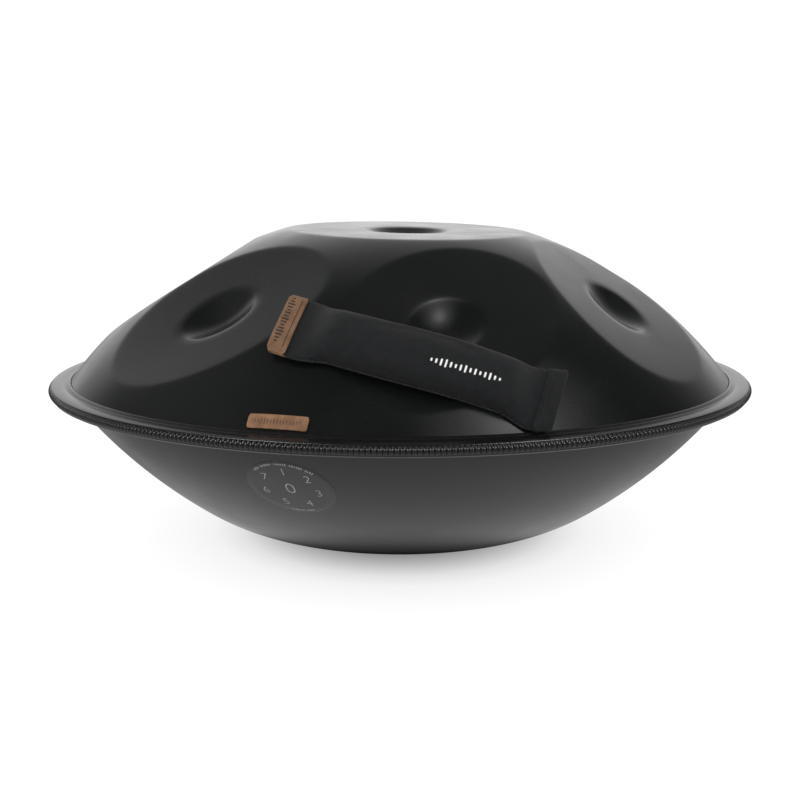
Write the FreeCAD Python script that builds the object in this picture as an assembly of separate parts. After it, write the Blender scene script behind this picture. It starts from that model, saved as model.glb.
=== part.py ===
import FreeCAD, Part
import math
import os
from FreeCAD import Vector

# Handpan: two steel shells glued at their flanges, a ribbed rubber trim over the glued rim,
# and a loose damper bag lying on the dome.
# Millimetres, +Z up, the player sits on the -Y side and +X is at the player's right.
# The origin is the centre of the flat seat that the handpan rests on.

# ---- shells ----
RIM_HEIGHT = 117.3        # glue plane above the seat
SHEET = 1.2               # steel sheet thickness
GLUE = 0.3                # glue line between the flanges
FLANGE_R = 268.5          # outer radius of both flanges
DOME_FOOT_R = 259.4       # where the dome's skin meets the glue plane
BOWL_FOOT_R = 258.4       # where the bowl's skin meets it
FLANGE_OVERLAP = 1.2      # a flange grows out of the sheet this far inside those radii
DOME_R = 322.0            # sphere of the dome
BOWL_SIDE_R = 387.0       # arc of the bowl's side, in section
BOWL_BILGE_R = 160.0      # tighter arc between side and seat
BOWL_BILGE_ANGLE = 33.4   # slope where the two arcs meet
SEAT_R = 73.6             # outer radius of the flat seat
PORT_R = 48.0             # inner radius of the port's neck
PORT_BEND_R = 11.0        # bend from the seat up into the neck
PORT_NECK = 27.0          # neck height above the seat

# ---- ding and tone fields, hammered flat into the dome ----
FIELD_POLAR = 34.5        # angle between the dome's axis and a field's centre
FIELD_TILT = 45.0         # turn of a field's long axis, from level towards the top
CREASE = 0.06             # softness of a field's edge
DING = dict(azimuth=90.0, polar=1.1, long=93.0, short=93.0, tilt=0.0, dimple=(38.7, 38.7))
# azimuth from the front towards +X, then the half axes
FIELD_SIZES = (
    (-47.0, 87.0, 72.0),
    (10.5, 94.0, 68.0),
    (65.0, 90.0, 70.0),
    (115.0, 82.0, 68.0),
    (164.0, 80.0, 68.0),
    (213.0, 80.0, 68.0),
    (262.5, 84.0, 70.0),
)
FIELD_DIMPLE = (36.5, 30.5)   # half axes of the shoulder round a tone field's dimple
BOWL_SHARE = 0.84         # inner bowl of a dimple over its shoulder
SHOULDER_DEPTH = 0.045    # shoulder step over its mean radius
BOWL_DEPTH = 0.2          # bowl depth over the shoulder's mean radius
GRID_ANGLE = 58.0         # the dome's surface reaches this far down each side
GRID_COUNT = 121          # points along each side of that surface
FIELD_REACH = 0.8         # cosine of the angle past which a field no longer counts

# ---- edge trim: ribbed rubber profile with a steel clip strip inside ----
TRIM_NOSE_R = 271.6       # smooth nose above and below the ribs
TRIM_RIB_R = 272.5        # crest of the ribs
TRIM_GROOVE_R = 270.9     # bottom of the grooves between ribs
TRIM_NOSE_HALF = 2.1      # half height of the upright part of the nose
RIB_COUNT = 468
RIB_HALF_HEIGHT = 1.9
RIB_ROOT = 0.4            # the ribs are rooted this deep in the nose
# skin of the trim's two legs, from the nose to the shell: radius and height off the glue plane
TRIM_UPPER_LEG = ((270.9, 3.0), (269.0, 3.7), (266.0, 4.2), (262.8, 4.4), (260.2, 4.2),
                  (258.9, 4.7), (257.2, 5.7), (256.0, 5.9), (255.55, 5.4))
TRIM_LOWER_LEG = ((271.0, -3.3), (269.0, -4.7), (266.4, -5.8), (263.2, -6.4), (259.6, -6.2),
                  (256.9, -5.5), (255.6, -4.4))
# the slot for the flanges opens from its floor to these places on the shells' slopes
SLOT_MOUTH_HIGH = (255.45, 6.0)
SLOT_MOUTH_LOW = (255.5, -5.0)
SLOT_EASE = 0.1           # between the slot's floor and the flanges' edges
SLOT_HEEL_HIGH = 0.55     # the slot's upper slope starts this far inside the dome's foot,
SLOT_HEEL_LOW = 0.2       # and its lower slope this far inside the bowl's foot
SLOT_INNER_R = 250.0      # the slot is cut from here outward
TRIM_BUTT_GAP = 0.6       # the strip's two ends meet at the back
CLIP_SHEET = 0.6
CLIP_R = 269.9            # outer radius of the clip strip
CLIP_INNER_R = 259.6
CLIP_HALF_HEIGHT = 2.7

# ---- label on the dome, sticker on the bowl ----
LABEL = dict(azimuth=-18.3, polar=51.1, width=42.0, height=10.6, corner=1.6)
LABEL_THICKNESS = 1.1
TAPE = 0.25
TAPE_INSET = 0.8          # the tape is smaller than the label by this much
FIT_GAP = 0.02            # between a glued-on piece and the surface below
STICKER_AZIMUTH = -18.8
STICKER_RADIUS_FROM_AXIS = 225.4
STICKER_DIAMETER = 62.0
STICKER_FILM = 0.15
PRINT_FILM = 0.05
NOTE_RING_R = 19.5        # ring of small note marks on the sticker
NOTE_COUNT = 7
NOTE_MARK_R = 3.4
NOTE_LINE = 0.7
DING_MARK_R = 5.0
TICK_RING_R = 28.7        # arcs of dots near the sticker's edge
TICK_R = 0.55
TICK_STEP = 3.6           # degrees between dots
# an arc's middle, in degrees from the sticker's top, and its dots to each side of that
TICK_ARCS = ((0.0, 13), (180.0, 5))
PRISM_HALF_DEPTH = 12.0   # cutting prisms and posts reach this far to both sides

# ---- damper bag, laid over the dome ----
BAG_AZIMUTH = 4.2
BAG_POLAR = 41.7
BAG_SLANT = -19.3         # direction of its length, from level towards the top
TAB_END = -106.0          # outer end of the leather tab at the left
HEM_END = 93.9            # outer end of the sewn hem at the right
BAG_FILL_LEFT = -86.0     # the filled part lies between these
BAG_FILL_RIGHT = 81.0
BAG_RAMP = 24.0           # length over which the filling tapers off
BAG_END_WIDTH = 51.3
BAG_MID_WIDTH = 41.9
BAG_MIDDLE = -4.5         # its centre line lies this much lower on the dome halfway,
BAG_LEFT_RISE = 9.8       # and rises by this much towards the left end
BAG_RIGHT_RISE = 1.5      # and the right end
BAG_CROWN = 16.0          # height of the filled arch
BAG_CLEAR = 0.8           # air between bag and dome
BAG_LEFT_LIFT = 3.3       # the left end stands off the dome by this much more
BAG_RIGHT_LIFT = 6.5      # the right end does too, as its lower corner rests on the trim;
BAG_LIFT_START = 72.0     # it bends up from here
BAG_BELLY = 0.65          # share of the tone field's hollow that the lower panel sinks into
CLOTH = 0.9
CLOTH_GAP = 0.15
FOLD_GAP = 0.35
BAG_EDGE = 1.4            # the lower panel stands out past the arch
FILL_INSET = 8.0          # the granulate stops this far before the cloth lies flat
HEM_LENGTH = 12.0
TAB_LENGTH = 15.5         # leather tab folded round the left end
TAB_CORNER = 3.0
TAB_EASE = 0.4            # the corner cut clears the tab's straight edges by this much
LEATHER = 1.2
STITCH_R = 0.3
STITCH_PITCH = 3.4
STITCH_LENGTH = 2.4
STITCH_INSET = 3.2        # from an edge to the stitch line
STITCH_GAP = 0.05
EDGE_STITCH_GAP = 0.2     # along the long edges, where the lower panel bulges
STITCH_MARGIN = 2.0       # a row of stitches stops this far before the cloth's edge
STATIONS = 58             # cross-sections along the bag
FLAT_POINTS = 17          # points across a flat cross-section
ARCH_POINTS = 17          # points across an arched one
FOLD_POINTS = 36          # points round a fold


# ---------------------------------------------------------------- directions on the dome

DOME_CENTRE = Vector(0, 0, RIM_HEIGHT - math.sqrt(DOME_R ** 2 - DOME_FOOT_R ** 2))


def direction(azimuth, polar):
    """Unit vector: azimuth from the front (-Y) towards +X, polar from straight up."""
    a = math.radians(azimuth)
    p = math.radians(polar)
    return Vector(math.sin(p) * math.sin(a), -math.sin(p) * math.cos(a), math.cos(p))


def tangent_axes(azimuth, polar, turn=0.0):
    """The level axis and the uphill axis of the dome at one place, turned by some degrees."""
    a = math.radians(azimuth)
    level = Vector(math.cos(a), math.sin(a), 0)
    uphill = direction(azimuth, polar).cross(level)
    t = math.radians(turn)
    first = level * math.cos(t) + uphill * math.sin(t)
    second = uphill * math.cos(t) - level * math.sin(t)
    return first, second


def walk(axis, first, second, s, w, radius):
    """Direction reached by walking s along first and w along second on a sphere."""
    distance = math.hypot(s, w)
    if distance < 1e-9:
        return Vector(axis)
    angle = distance / radius
    heading = first * (s / distance) + second * (w / distance)
    return axis * math.cos(angle) + heading * math.sin(angle)


def soft_positive(x, softness):
    return 0.5 * (x + math.sqrt(x * x + softness * softness))


# ---------------------------------------------------------------- hammered relief

def make_field(azimuth, polar, long, short, tilt, dimple):
    first, second = tangent_axes(azimuth, polar, tilt)
    depth = DOME_R - math.sqrt(DOME_R ** 2 - long * short)
    return dict(axis=direction(azimuth, polar), first=first, second=second,
                long=long, short=short, depth=depth, dimple=dimple)


FIELDS = [make_field(**DING)]
for field_azimuth, field_long, field_short in FIELD_SIZES:
    FIELDS.append(make_field(field_azimuth, FIELD_POLAR, field_long, field_short,
                             FIELD_TILT, FIELD_DIMPLE))


def relief(n):
    """How far the sheet lies below the plain sphere in direction n."""
    total = 0.0
    for field in FIELDS:
        if n.dot(field["axis"]) < FIELD_REACH:
            continue
        x = DOME_R * n.dot(field["first"])
        y = DOME_R * n.dot(field["second"])
        flat = 1.0 - (x / field["long"]) ** 2 - (y / field["short"]) ** 2
        total += field["depth"] * soft_positive(flat, CREASE)
        dimple_long, dimple_short = field["dimple"]
        mean_r = math.sqrt(dimple_long * dimple_short)
        spread = (x / dimple_long) ** 2 + (y / dimple_short) ** 2
        shoulder = 1.0 - spread
        bowl = 1.0 - spread / BOWL_SHARE ** 2
        total += SHOULDER_DEPTH * mean_r * soft_positive(shoulder, 2 * CREASE)
        total += BOWL_DEPTH * mean_r * soft_positive(bowl, 2 * CREASE)
    return total


def dome_face(inset):
    """The dome's surface, inset from its outer skin, well past the rim on every side."""
    up = Vector(0, 0, 1)
    reach = math.radians(GRID_ANGLE) * DOME_R
    step = 2 * reach / (GRID_COUNT - 1)
    rows = []
    for i in range(GRID_COUNT):
        row = []
        for j in range(GRID_COUNT):
            n = walk(up, Vector(1, 0, 0), Vector(0, 1, 0), i * step - reach, j * step - reach,
                     DOME_R)
            row.append(DOME_CENTRE + n * (DOME_R - inset - relief(n)))
        rows.append(row)
    surface = Part.BSplineSurface()
    surface.interpolate(rows)
    return surface.toShape()


def dome_above(face, height):
    """The part of the space under a dome surface that lies above a level plane."""
    depth = 2 * DOME_R
    block = face.extrude(Vector(0, 0, -depth))
    room = Part.makeCylinder(DOME_R, depth, Vector(0, 0, height))
    return block.common(room)


def largest_and_floor(solid):
    """The dome's curved face and its flat floor face."""
    faces = sorted(solid.Faces, key=lambda face: face.BoundBox.ZLength)
    return faces[-1], faces[0]


# ---------------------------------------------------------------- sections

def ring(inner_r, outer_r, bottom, top):
    solid = Part.makeCylinder(outer_r, top - bottom, Vector(0, 0, bottom))
    return solid.cut(Part.makeCylinder(inner_r, top - bottom, Vector(0, 0, bottom)))


def in_section(r, z):
    return Vector(r, 0, z)


def line(a, b):
    return Part.makeLine(a, b)


def at_angle(centre, radius, angle):
    """Place in the section plane; angle in degrees from +X towards +Z."""
    a = math.radians(angle)
    return centre + Vector(math.cos(a), 0, math.sin(a)) * radius


def arc(centre, radius, start, end):
    """Arc in the section plane between two angles."""
    angles = (start, 0.5 * (start + end), end)
    return Part.Arc(*[at_angle(centre, radius, angle) for angle in angles]).toShape()


def revolve(edges, angle=360.0):
    face = Part.Face(Part.Wire(edges))
    return face.revolve(Vector(0, 0, 0), Vector(0, 0, 1), angle)


# ---------------------------------------------------------------- shells

def upper_shell():
    floor = RIM_HEIGHT + GLUE / 2
    skin, outer_floor = largest_and_floor(dome_above(dome_face(0.0), floor))
    lining, inner_floor = largest_and_floor(dome_above(dome_face(SHEET), floor))
    foot = outer_floor.cut(inner_floor).Faces[0]
    sheet = Part.makeShell([skin, lining, foot])
    sheet.sewShape()
    flange = ring(DOME_FOOT_R - FLANGE_OVERLAP, FLANGE_R, floor, floor + SHEET)
    return Part.makeSolid(sheet).fuse(flange)


BILGE_CENTRE = in_section(SEAT_R, BOWL_BILGE_R)
SIDE_CENTRE = at_angle(BILGE_CENTRE, BOWL_SIDE_R - BOWL_BILGE_R, BOWL_BILGE_ANGLE + 90.0)
JOIN_ANGLE = BOWL_BILGE_ANGLE - 90.0


def bowl_rim_angle(radius):
    """Where the side arc of this radius meets the glue line."""
    return math.degrees(math.asin((RIM_HEIGHT - GLUE / 2 - SIDE_CENTRE.z) / radius))


def bowl_arcs(inset):
    """Section of the bowl's skin: side arc, then bilge arc, and the place at the rim."""
    radius = BOWL_SIDE_R - inset
    rim_angle = bowl_rim_angle(radius)
    side = arc(SIDE_CENTRE, radius, rim_angle, JOIN_ANGLE)
    bilge = arc(BILGE_CENTRE, BOWL_BILGE_R - inset, JOIN_ANGLE, -90.0)
    return side, bilge, at_angle(SIDE_CENTRE, radius, rim_angle)


def port_arcs(inset):
    """Section of the port's bend and neck, from the seat inward and up."""
    bend_centre = in_section(PORT_R + PORT_BEND_R, PORT_BEND_R)
    bend_r = PORT_BEND_R - inset
    bend = arc(bend_centre, bend_r, -90.0, -180.0)
    top = in_section(bend_centre.x - bend_r, PORT_NECK)
    neck = line(in_section(bend_centre.x - bend_r, PORT_BEND_R), top)
    return bend, neck, top


def lower_shell():
    side, bilge, rim = bowl_arcs(0.0)
    side_in, bilge_in, rim_in = bowl_arcs(SHEET)
    bend, neck, top = port_arcs(0.0)
    bend_in, neck_in, top_in = port_arcs(SHEET)
    seat = line(in_section(SEAT_R, 0), in_section(PORT_R + PORT_BEND_R, 0))
    seat_in = line(in_section(SEAT_R, SHEET), in_section(PORT_R + PORT_BEND_R, SHEET))
    bowl = revolve([line(rim_in, rim), side, bilge, seat, bend, neck, line(top, top_in),
                    neck_in, bend_in, seat_in, bilge_in, side_in])
    flange_top = RIM_HEIGHT - GLUE / 2
    flange = ring(BOWL_FOOT_R - FLANGE_OVERLAP, FLANGE_R, flange_top - SHEET, flange_top)
    return bowl.fuse(flange)


def rim_adhesive():
    return ring(DOME_FOOT_R, FLANGE_R, RIM_HEIGHT - GLUE / 2, RIM_HEIGHT + GLUE / 2)


# ---------------------------------------------------------------- edge trim

def trim_leg(outline, side):
    """Skin of one leg of the trim, from the nose to the shell; side is 1 above, -1 below."""
    nose = (TRIM_NOSE_R, side * TRIM_NOSE_HALF)
    points = [in_section(r, RIM_HEIGHT + z) for r, z in (nose,) + outline]
    skin = Part.BSplineCurve()
    skin.interpolate(points)
    return skin.toShape(), points[0], points[-1]


def trim_channel():
    """The slot that takes the two flanges; its mouth follows the slope of the shells."""
    half = SHEET + GLUE / 2
    floor_r = FLANGE_R + SLOT_EASE
    outline = [(SLOT_INNER_R, SLOT_MOUTH_LOW[1]), SLOT_MOUTH_LOW,
               (BOWL_FOOT_R - SLOT_HEEL_LOW, -half), (floor_r, -half),
               (floor_r, half), (DOME_FOOT_R - SLOT_HEEL_HIGH, half),
               SLOT_MOUTH_HIGH, (SLOT_INNER_R, SLOT_MOUTH_HIGH[1])]
    points = [in_section(r, RIM_HEIGHT + z) for r, z in outline]
    return Part.Face(Part.makePolygon(points + points[:1]))


def trim_section():
    upper, upper_nose, upper_end = trim_leg(TRIM_UPPER_LEG, 1)
    lower, lower_nose, lower_end = trim_leg(TRIM_LOWER_LEG, -1)
    wire = Part.Wire([line(lower_nose, upper_nose), upper, line(upper_end, lower_end), lower])
    return Part.Face(wire).cut(trim_channel()).cut(clip_section())


def clip_section():
    """U-shaped strip that grips the flanges through the rubber."""
    outer = [(CLIP_INNER_R, -CLIP_HALF_HEIGHT), (CLIP_R, -CLIP_HALF_HEIGHT),
             (CLIP_R, CLIP_HALF_HEIGHT), (CLIP_INNER_R, CLIP_HALF_HEIGHT)]
    low = CLIP_HALF_HEIGHT - CLIP_SHEET
    inner = [(CLIP_INNER_R, low), (CLIP_R - CLIP_SHEET, low),
             (CLIP_R - CLIP_SHEET, -low), (CLIP_INNER_R, -low)]
    points = [in_section(r, RIM_HEIGHT + z) for r, z in outer + inner]
    return Part.Face(Part.makePolygon(points + points[:1]))


def rib_band():
    """Ring of upright ribs round the nose, barrel-shaped in section."""
    pitch = 2 * math.pi / RIB_COUNT
    edges = []
    for k in range(RIB_COUNT):
        points = []
        for turn, r in ((k, TRIM_GROOVE_R), (k + 0.5, TRIM_RIB_R), (k + 1, TRIM_GROOVE_R)):
            a = math.pi / 2 + turn * pitch
            points.append(Vector(r * math.cos(a), r * math.sin(a), 0))
        edges.append(Part.Arc(*points).toShape())
    outline = Part.Face(Part.Wire(edges))
    band = outline.extrude(Vector(0, 0, 2 * RIB_HALF_HEIGHT))
    band.translate(Vector(0, 0, RIM_HEIGHT - RIB_HALF_HEIGHT))
    hole = Part.makeCylinder(TRIM_GROOVE_R - RIB_ROOT, 2 * RIM_HEIGHT)
    return band.cut(hole)


def butt_gap():
    """Thin upright gap at the back, where the trim's two ends meet."""
    height = 6 * CLIP_HALF_HEIGHT
    gap = Part.makeBox(TRIM_BUTT_GAP, TRIM_RIB_R, height)
    gap.translate(Vector(-TRIM_BUTT_GAP / 2, SLOT_INNER_R, RIM_HEIGHT - height / 2))
    return gap


def edge_trim():
    body = trim_section().revolve(Vector(0, 0, 0), Vector(0, 0, 1), 360.0)
    return body.fuse(rib_band()).cut(butt_gap())


def edge_trim_core():
    body = clip_section().revolve(Vector(0, 0, 0), Vector(0, 0, 1), 360.0)
    return body.cut(butt_gap())


# ---------------------------------------------------------------- label and sticker

def rounded_prism(width, height, corner, frame_origin, first, second):
    """Upright prism with rounded corners, centred on a place."""
    x = width / 2
    y = height / 2
    c = corner
    d = corner * (1 - math.sqrt(0.5))
    plan = [
        ((-x + c, -y), (x - c, -y), (x - d, -y + d)), ((x, -y + c), (x, y - c), (x - d, y - d)),
        ((x - c, y), (-x + c, y), (-x + d, y - d)), ((-x, y - c), (-x, -y + c), (-x + d, -y + d)),
    ]
    normal = first.cross(second)

    def place(point):
        return frame_origin + first * point[0] + second * point[1] - normal * PRISM_HALF_DEPTH

    edges = []
    for k, (start, end, bend) in enumerate(plan):
        following = plan[(k + 1) % len(plan)][0]
        edges.append(line(place(start), place(end)))
        edges.append(Part.Arc(place(end), place(bend), place(following)).toShape())
    return Part.Face(Part.Wire(edges)).extrude(normal * (2 * PRISM_HALF_DEPTH))


def dome_layer(low, high, prism):
    """The slice of a prism between two heights above the dome's sphere."""
    outer = Part.makeSphere(DOME_R + high, DOME_CENTRE)
    inner = Part.makeSphere(DOME_R + low, DOME_CENTRE)
    return prism.common(outer).cut(inner)


def label_prism(shrink=0.0):
    axis = direction(LABEL["azimuth"], LABEL["polar"])
    first, second = tangent_axes(LABEL["azimuth"], LABEL["polar"])
    return rounded_prism(LABEL["width"] - shrink, LABEL["height"] - shrink, LABEL["corner"],
                         DOME_CENTRE + axis * DOME_R, first, second)


def rim_label():
    low = FIT_GAP + TAPE
    return dome_layer(low, low + LABEL_THICKNESS, label_prism())


def rim_label_tape():
    return dome_layer(FIT_GAP, FIT_GAP + TAPE, label_prism(shrink=TAPE_INSET))


def bowl_layer(low, high):
    """A thin skin over the outside of the bowl's side, between two heights."""
    top_angle = bowl_rim_angle(BOWL_SIDE_R + high)
    outer = arc(SIDE_CENTRE, BOWL_SIDE_R + high, top_angle, JOIN_ANGLE)
    inner = arc(SIDE_CENTRE, BOWL_SIDE_R + low, top_angle, JOIN_ANGLE)
    ends = []
    for angle in (JOIN_ANGLE, top_angle):
        ends.append(line(at_angle(SIDE_CENTRE, BOWL_SIDE_R + low, angle),
                         at_angle(SIDE_CENTRE, BOWL_SIDE_R + high, angle)))
    return revolve([outer, ends[0], inner, ends[1]])


def sticker_frame():
    """Place, level axis, uphill axis and outward normal at the sticker's centre."""
    along = STICKER_RADIUS_FROM_AXIS - SIDE_CENTRE.x
    height = SIDE_CENTRE.z - math.sqrt(BOWL_SIDE_R ** 2 - along ** 2)
    a = math.radians(STICKER_AZIMUTH)
    outward = Vector(math.sin(a), -math.cos(a), 0)
    down = (height - SIDE_CENTRE.z) / BOWL_SIDE_R
    normal = outward * (along / BOWL_SIDE_R) + Vector(0, 0, down)
    level = Vector(math.cos(a), math.sin(a), 0)
    place = outward * STICKER_RADIUS_FROM_AXIS + Vector(0, 0, height)
    return place, level, normal.cross(level), normal


def post(x, y, radius):
    """Round post standing through the bowl's skin at a place on the sticker."""
    place, level, uphill, normal = sticker_frame()
    foot = place + level * x + uphill * y - normal * PRISM_HALF_DEPTH
    return Part.makeCylinder(radius, 2 * PRISM_HALF_DEPTH, foot, normal)


def note_sticker():
    disc = post(0, 0, STICKER_DIAMETER / 2)
    return bowl_layer(FIT_GAP, FIT_GAP + STICKER_FILM).common(disc)


def note_sticker_print():
    """A ring of open circles for the notes, one larger in the middle, and arcs of dots."""
    posts = []
    marks = [(0.0, 0.0, DING_MARK_R)]
    for k in range(NOTE_COUNT):
        a = 2 * math.pi * k / NOTE_COUNT
        marks.append((NOTE_RING_R * math.sin(a), NOTE_RING_R * math.cos(a), NOTE_MARK_R))
    for x, y, radius in marks:
        posts.append(post(x, y, radius).cut(post(x, y, radius - NOTE_LINE)))
    for middle, each_side in TICK_ARCS:
        for k in range(-each_side, each_side + 1):
            a = math.radians(middle + TICK_STEP * k)
            posts.append(post(TICK_RING_R * math.sin(a), TICK_RING_R * math.cos(a), TICK_R))
    low = 2 * FIT_GAP + STICKER_FILM
    skin = bowl_layer(low, low + PRINT_FILM)
    return Part.makeCompound([piece for one in posts for piece in skin.common(one).Solids])


# ---------------------------------------------------------------- damper bag

PANEL_STACK = 2 * CLOTH + 2 * CLOTH_GAP     # both panels where the bag is flat


def fold_radius(thickness):
    """Outer radius of the fold of a strip laid round the panels' end."""
    return PANEL_STACK / 2 + FOLD_GAP + thickness


BAG_LEFT = TAB_END + fold_radius(LEATHER)
BAG_RIGHT = HEM_END - fold_radius(CLOTH)
HEM_TOP = PANEL_STACK / 2 + fold_radius(CLOTH)
TAB_TOP = PANEL_STACK / 2 + fold_radius(LEATHER)
BAG_AXIS = direction(BAG_AZIMUTH, BAG_POLAR)
BAG_ALONG, BAG_ACROSS = tangent_axes(BAG_AZIMUTH, BAG_POLAR, BAG_SLANT)
BAG_WALK_R = DOME_R + 8.0


def bag_width(s):
    """The cloth draws in where it is filled."""
    fill = bag_fill(s)
    return BAG_END_WIDTH + (BAG_MID_WIDTH - BAG_END_WIDTH) * fill


def bag_fill(s):
    """0 where the cloth is flat, 1 where the bag is full."""
    if s <= BAG_FILL_LEFT or s >= BAG_FILL_RIGHT:
        return 0.0
    near = min(s - BAG_FILL_LEFT, BAG_FILL_RIGHT - s) / BAG_RAMP
    if near >= 1.0:
        return 1.0
    return 0.5 - 0.5 * math.cos(near * math.pi)


def towards_end(s, at_left, at_right):
    """An end's value, times the square of the share of the way there from the middle."""
    return (s / BAG_RIGHT) ** 2 * (at_left if s < 0 else at_right)


def bag_middle(s):
    return BAG_MIDDLE + towards_end(s, BAG_LEFT_RISE, BAG_RIGHT_RISE)


def bag_lift(s):
    """How far the bag stands off the dome."""
    if s < 0:
        return BAG_CLEAR + towards_end(s, BAG_LEFT_LIFT, 0.0)
    bend = max(0.0, s - BAG_LIFT_START) / (BAG_RIGHT - BAG_LIFT_START)
    return BAG_CLEAR + BAG_RIGHT_LIFT * bend ** 2


def bag_direction(s, w):
    """Direction of a place on the bag; w is measured from its centre line."""
    return walk(BAG_AXIS, BAG_ALONG, BAG_ACROSS, s, w + bag_middle(s), BAG_WALK_R)


def bag_point(s, w, height):
    """Place at a height above the plane in which the bag's long edges lie."""
    return DOME_CENTRE + bag_direction(s, w) * (DOME_R + bag_lift(s) + height)


def bag_belly(s, w):
    """How far the lower panel bulges below its edges, into the tone field's hollow."""
    share = max(0.0, 1.0 - (2 * w / bag_width(s)) ** 2)
    return BAG_BELLY * bag_fill(s) * share ** 1.5 * bag_hollow(bag_direction(s, w))


def bag_hollow(n):
    """Depth of the dome's relief under the bag, without the dimples."""
    total = 0.0
    for field in FIELDS:
        if n.dot(field["axis"]) < FIELD_REACH:
            continue
        x = DOME_R * n.dot(field["first"]) / field["long"]
        y = DOME_R * n.dot(field["second"]) / field["short"]
        total += field["depth"] * soft_positive(1.0 - x * x - y * y, CREASE)
    return total


def spaced(start, end, count):
    return [start + (end - start) * k / (count - 1) for k in range(count)]


def cross_sections(start, end):
    return spaced(start, end, STATIONS)


def surface_through(rows):
    surface = Part.BSplineSurface()
    surface.interpolate(rows)
    return surface.toShape()


def box_between(lower, upper):
    """Closed solid between two grids of points that have the same layout."""
    floor = surface_through(lower)
    roof = surface_through(upper)
    sides = [Part.makeRuledSurface(low, high) for low, high in zip(floor.Edges, roof.Edges)]
    shell = Part.makeShell([floor, roof] + sides)
    shell.sewShape()
    solid = Part.makeSolid(shell)
    if solid.Volume < 0:
        solid.reverse()
    return solid


def arch_rows(stations, inset, base):
    """Arched upper surface of the bag, from edge to edge at every station."""
    rows = []
    for s in stations:
        half = bag_width(s) / 2 - inset
        crown = CLOTH + CLOTH_GAP + (BAG_CROWN - CLOTH) * bag_fill(s) - inset
        row = []
        for turn in spaced(-90.0, 90.0, ARCH_POINTS):
            a = math.radians(turn)
            row.append(bag_point(s, half * math.sin(a), base + crown * math.cos(a)))
        rows.append(row)
    return rows


def bag_bottom_panel():
    """Even cloth, flat at both ends and bulging downward in between."""
    grids = []
    for height in (0.0, CLOTH):
        rows = []
        for s in cross_sections(BAG_LEFT, BAG_RIGHT):
            half = bag_width(s) / 2 + BAG_EDGE
            rows.append([bag_point(s, w, height - bag_belly(s, w))
                         for w in spaced(-half, half, FLAT_POINTS)])
        grids.append(rows)
    return box_between(*grids)


def bag_top_panel():
    stations = cross_sections(BAG_LEFT, BAG_RIGHT)
    base = CLOTH + CLOTH_GAP
    return box_between(arch_rows(stations, CLOTH, base), arch_rows(stations, 0.0, base))


def bag_filling():
    """Granulate under the arch, where there is room for it."""
    stations = cross_sections(BAG_FILL_LEFT + FILL_INSET, BAG_FILL_RIGHT - FILL_INSET)
    base = CLOTH + CLOTH_GAP
    inset = CLOTH + 3 * CLOTH_GAP
    arch = arch_rows(stations, inset, base + 2 * CLOTH_GAP)
    floor = []
    for s in stations:
        half = bag_width(s) / 2 - inset
        row = []
        for turn in spaced(-90.0, 90.0, ARCH_POINTS):
            w = half * math.sin(math.radians(turn))
            row.append(bag_point(s, w, base - bag_belly(s, w)))
        floor.append(row)
    return box_between(floor, arch)


def fold_path(straight, rise, count):
    """Evenly spaced places along a U: how far inward of the fold's pivot, and how high."""
    total = 2 * straight + math.pi * rise
    path = []
    for distance in spaced(0.0, total, count):
        a = (distance - straight) / rise
        if a < 0:
            path.append((straight - distance, rise))
        elif a <= math.pi:
            path.append((-rise * math.sin(a), rise * math.cos(a)))
        else:
            path.append((distance - total + straight, -rise))
    return path


def folded_rows(closed_end, open_end, thickness, offset):
    """U-shaped surface folded round an end of the bag, offset from the strip's inner face."""
    inward = 1.0 if open_end > closed_end else -1.0
    pivot = closed_end + inward * fold_radius(thickness)
    rows = []
    straight = abs(open_end - pivot)
    for depth, height in fold_path(straight, fold_radius(0.0) + offset, FOLD_POINTS):
        s = pivot + inward * depth
        half = bag_width(s) / 2 + BAG_EDGE
        rows.append([bag_point(s, share * half, PANEL_STACK / 2 + height)
                     for share in spaced(-1.0, 1.0, FLAT_POINTS)])
    return rows


def folded_strip(closed_end, open_end, thickness):
    """Strip of even thickness folded over one end of the bag."""
    return box_between(folded_rows(closed_end, open_end, thickness, 0.0),
                       folded_rows(closed_end, open_end, thickness, thickness))


def bag_end_hem():
    return folded_strip(HEM_END, HEM_END - HEM_LENGTH, CLOTH)


def bag_label():
    """Leather tab with rounded corners, folded round the bag's left end."""
    middle = TAB_END + TAB_LENGTH / 2
    centre = bag_point(middle, 0.0, 0.0)
    across = (bag_point(middle, 5.0, 0.0) - centre).normalize()
    along = (bag_point(middle + 5.0, 0.0, 0.0) - centre).normalize()
    along = (along - across * along.dot(across)).normalize()
    height = BAG_END_WIDTH + 2 * BAG_EDGE
    outline = rounded_prism(TAB_LENGTH + TAB_EASE, height + TAB_EASE, TAB_CORNER, centre,
                            along, across)
    return folded_strip(TAB_END, TAB_END + TAB_LENGTH, LEATHER).common(outline)


def stitch(start, end):
    return Part.makeCylinder(STITCH_R, (end - start).Length, start, end - start)


def stitches_across(s, half, height):
    """Row of stitches across the bag at station s, lying on a layer of this height."""
    count = int(2 * half / STITCH_PITCH)
    solids = []
    for k in range(count):
        w = (k - (count - 1) / 2) * STITCH_PITCH
        level = height + STITCH_R + STITCH_GAP
        solids.append(stitch(bag_point(s, w - STITCH_LENGTH / 2, level),
                             bag_point(s, w + STITCH_LENGTH / 2, level)))
    return Part.makeCompound(solids)


def bag_hem_stitching():
    station = HEM_END - HEM_LENGTH + STITCH_INSET
    return stitches_across(station, BAG_END_WIDTH / 2 - STITCH_MARGIN, HEM_TOP)


def bag_label_stitching():
    station = TAB_END + TAB_LENGTH - STITCH_INSET
    return stitches_across(station, BAG_END_WIDTH / 2 - STITCH_MARGIN, TAB_TOP)


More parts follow.
